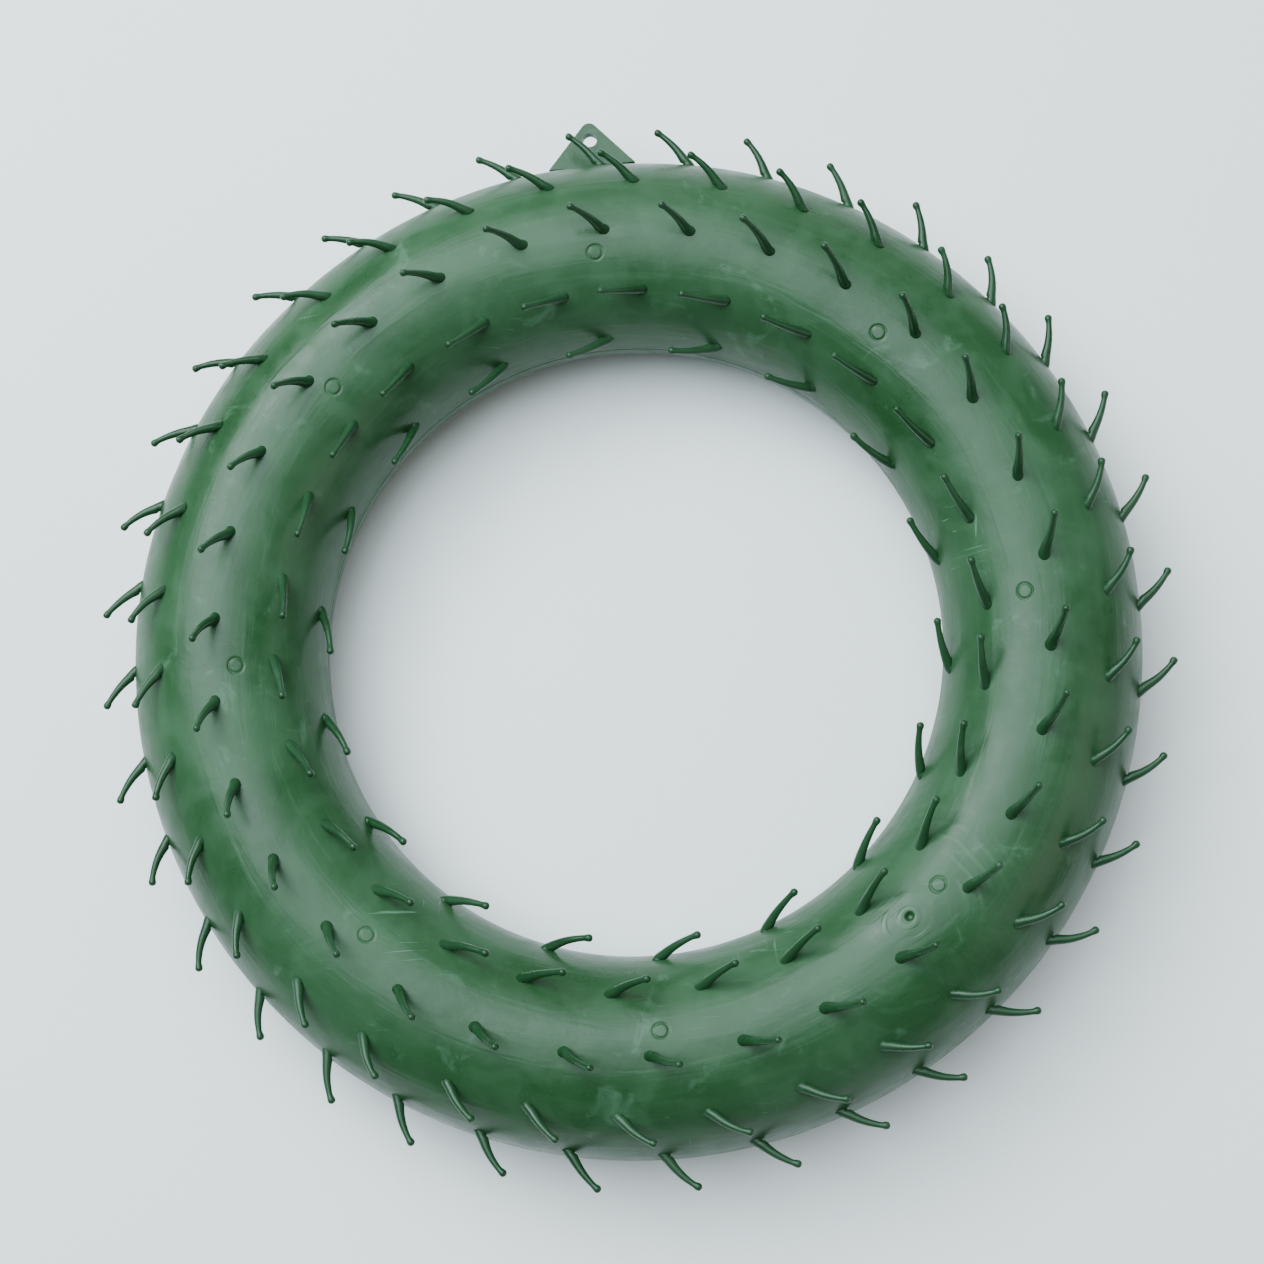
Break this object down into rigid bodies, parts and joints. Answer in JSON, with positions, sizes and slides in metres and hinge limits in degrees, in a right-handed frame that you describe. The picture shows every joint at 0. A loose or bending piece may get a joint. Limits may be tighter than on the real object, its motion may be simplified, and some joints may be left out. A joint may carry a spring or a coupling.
{
  "type": "wreath frame",
  "caption": "Hollow round wreath frame with rows of soft leaning thorns that grip moss and flowers, a flat back and a hanging tab.",
  "frame": {"origin": "centre of the ring on the flat face that it rests on", "axes": "+Z out of the front of the ring, along its axis; +Y towards the hanging tab; +X to the right of the tab, seen from the front"},
  "size_m": [0.3188, 0.3244, 0.0668],
  "materials": {
    "shell_plastic": "satin green polyethylene with a soft broad sheen",
    "thorn_plastic": "satin green polyethylene, slightly darker on the thin thorns",
    "inner_plastic": "unpolished green polyethylene inside the shells"
  },
  "bodies": {
    "root": {"front_shell": "shell_plastic", "back_shell": "shell_plastic", "hanger_tab": "shell_plastic", "outer_rim_thorns": "thorn_plastic", "outer_shoulder_thorns": "thorn_plastic", "crown_thorns": "thorn_plastic", "inner_shoulder_thorns": "thorn_plastic", "inner_wall_thorns": "thorn_plastic", "front_post_1": "inner_plastic", "front_post_2": "inner_plastic", "front_post_3": "inner_plastic", "front_post_4": "inner_plastic", "front_post_5": "inner_plastic", "front_post_6": "inner_plastic", "front_post_7": "inner_plastic", "front_post_8": "inner_plastic", "back_peg_1": "inner_plastic", "back_peg_2": "inner_plastic", "back_peg_3": "inner_plastic", "back_peg_4": "inner_plastic", "back_peg_5": "inner_plastic", "back_peg_6": "inner_plastic", "back_peg_7": "inner_plastic", "back_peg_8": "inner_plastic"}
  },
  "joints": []
}
